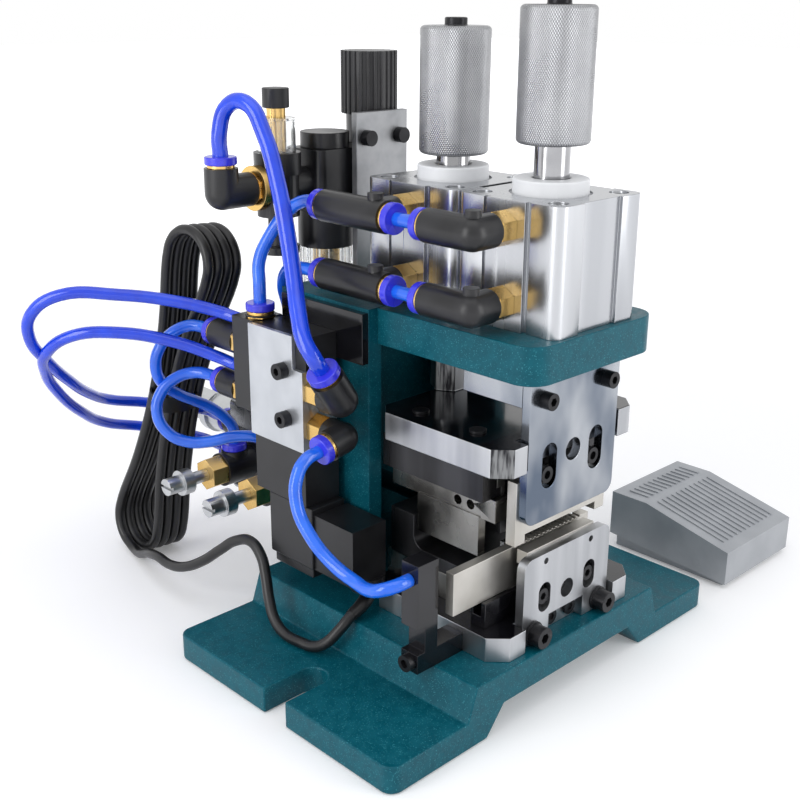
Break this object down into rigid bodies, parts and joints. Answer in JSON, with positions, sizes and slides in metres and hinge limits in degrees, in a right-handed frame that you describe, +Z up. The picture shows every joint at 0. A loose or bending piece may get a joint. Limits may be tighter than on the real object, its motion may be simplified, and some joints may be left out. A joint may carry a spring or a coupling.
{
  "type": "wire stripping and twisting machine",
  "caption": "Bench machine with upright air cylinders over a wire clamp, stripping blades and twisting bars, an air-driven slide behind, and a separate foot pedal.",
  "frame": {"origin": "centre of the bounding box footprint at bench level, hoses and mains lead left out", "axes": "+X to the machine's right, where the pedal stands; +Y to the rear, away from the wire mouth; +Z up"},
  "size_m": [0.4409, 0.395, 0.3991],
  "materials": {
    "teal_paint": "hammered gloss",
    "black_oxide": "satin",
    "cylinder_alloy": "satin",
    "cast_alloy": "bright cast",
    "rod_chrome": "polished",
    "tool_steel": "ground",
    "zinc_steel": "satin",
    "black_steel": "gloss",
    "brass": "satin",
    "black_plastic": "matte",
    "ring_plastic": "gloss",
    "hose_dark": "gloss",
    "hose_light": "gloss",
    "clear_bowl": "clear",
    "white_face": "satin",
    "grey_paint": "satin",
    "nylon": "smooth",
    "lead_black": "matte"
  },
  "bodies": {
    "frame": {"base_casting": "teal_paint", "column": "teal_paint", "arm_plate": "teal_paint", "bolster_plate": "black_steel", "press_cylinders": "cylinder_alloy", "bumper_discs": "nylon", "lower_front_plate": "tool_steel", "lower_jaw": "tool_steel", "jaw_support": "black_steel", "slide_rails": "tool_steel", "blow_post": "black_steel", "strip_cylinder": "cylinder_alloy", "stroke_adjuster": "zinc_steel", "valve_body": "white_face", "valve_ends": "black_plastic", "valve_coil": "black_plastic", "valve_plug": "black_plastic", "valve_bracket": "black_steel", "air_unit_body": "black_plastic", "clear_bowls": "clear_bowl", "air_unit_guards": "black_plastic", "air_unit_bracket": "zinc_steel", "brass_fittings": "brass", "elbow_fittings": "black_plastic", "release_rings": "ring_plastic", "black_screws": "black_oxide", "bright_bolts": "zinc_steel", "pedal_base": "grey_paint", "pedal_switch": "black_plastic", "supply_hose": "hose_dark", "tee_hoses": "hose_light", "blow_hose": "hose_light", "valve_hoses": "hose_dark", "speed_hoses": "hose_light", "power_lead": "lead_black", "cord_hank": "lead_black", "power_plug": "lead_black"},
    "clamp": {"clamp_rod": "rod_chrome", "clamp_block": "black_steel", "upper_front_plate": "tool_steel", "upper_jaw": "tool_steel", "clamp_screws": "black_oxide"},
    "front_knob": {"clamp_knob": "cylinder_alloy"},
    "ram": {"ram_rod": "rod_chrome", "ram_plate": "black_steel", "ram_guides": "tool_steel", "ram_screws": "black_oxide"},
    "rear_knob": {"ram_knob": "cylinder_alloy"},
    "upper_slide": {"upper_slides": "tool_steel", "upper_blade": "tool_steel"},
    "upper_twist": {"upper_twist_bar": "tool_steel"},
    "carriage_body": {"carriage": "black_steel", "strip_rod": "rod_chrome", "lower_blade": "tool_steel"},
    "lower_twist": {"lower_twist_bar": "tool_steel"},
    "regulator": {"regulator_knob": "black_plastic"},
    "oiler": {"oil_knob": "black_plastic"},
    "rear_speed": {"speed_screw_rear": "zinc_steel"},
    "front_speed": {"speed_screw_front": "zinc_steel"},
    "treadle": {"pedal_treadle": "grey_paint"}
  },
  "joints": [
    {"name": "clamp_slide", "type": "slide", "parent": "frame", "child": "clamp", "axis": [0, 0, 1], "range_m": [-0.0118, 0]},
    {"name": "clamp_knob_turn", "type": "hinge", "parent": "clamp", "child": "front_knob", "pos_m": [-0.0535, -0.1581, 0.35], "axis": [0, 0, 1], "continuous": true},
    {"name": "ram_slide", "type": "slide", "parent": "frame", "child": "ram", "axis": [0, 0, 1], "range_m": [-0.0059, 0]},
    {"name": "ram_knob_turn", "type": "hinge", "parent": "ram", "child": "rear_knob", "pos_m": [-0.0535, -0.0845, 0.34], "axis": [0, 0, 1], "continuous": true},
    {"name": "strip_slide", "type": "slide", "parent": "frame", "child": "carriage_body", "axis": [0, 1, 0], "range_m": [0, 0.025]},
    {"name": "upper_strip_slide", "type": "slide", "parent": "ram", "child": "upper_slide", "axis": [0, 1, 0], "range_m": [0, 0.025]},
    {"name": "lower_twist_slide", "type": "slide", "parent": "frame", "child": "lower_twist", "axis": [1, 0, 0], "range_m": [-0.01, 0]},
    {"name": "upper_twist_slide", "type": "slide", "parent": "ram", "child": "upper_twist", "axis": [1, 0, 0], "range_m": [0, 0.01]},
    {"name": "regulator_turn", "type": "hinge", "parent": "frame", "child": "regulator", "pos_m": [-0.019, 0.0255, 0.33], "axis": [0, 0, 1], "continuous": true},
    {"name": "oil_drip_turn", "type": "hinge", "parent": "frame", "child": "oiler", "pos_m": [-0.098, 0.0255, 0.33], "axis": [0, 0, 1], "continuous": true},
    {"name": "rear_speed_turn", "type": "hinge", "parent": "frame", "child": "rear_speed", "pos_m": [-0.1485, 0.0775, 0.078], "axis": [-1, 0, 0], "continuous": true},
    {"name": "front_speed_turn", "type": "hinge", "parent": "frame", "child": "front_speed", "pos_m": [-0.1485, 0.0295, 0.078], "axis": [-1, 0, 0], "continuous": true},
    {"name": "treadle_hinge", "type": "hinge", "parent": "frame", "child": "treadle", "pos_m": [0.16475, -0.1695, 0.0115], "axis": [1, 0, 0], "range_deg": [-5, 0], "stiffness_Nm_per_rad": 5, "springref_deg": 5.73}
  ],
  "couplings": [
    {"joint": "upper_strip_slide", "follows": "strip_slide", "ratio": 1},
    {"joint": "lower_twist_slide", "follows": "strip_slide", "ratio": -0.4},
    {"joint": "upper_twist_slide", "follows": "strip_slide", "ratio": 0.4}
  ]
}
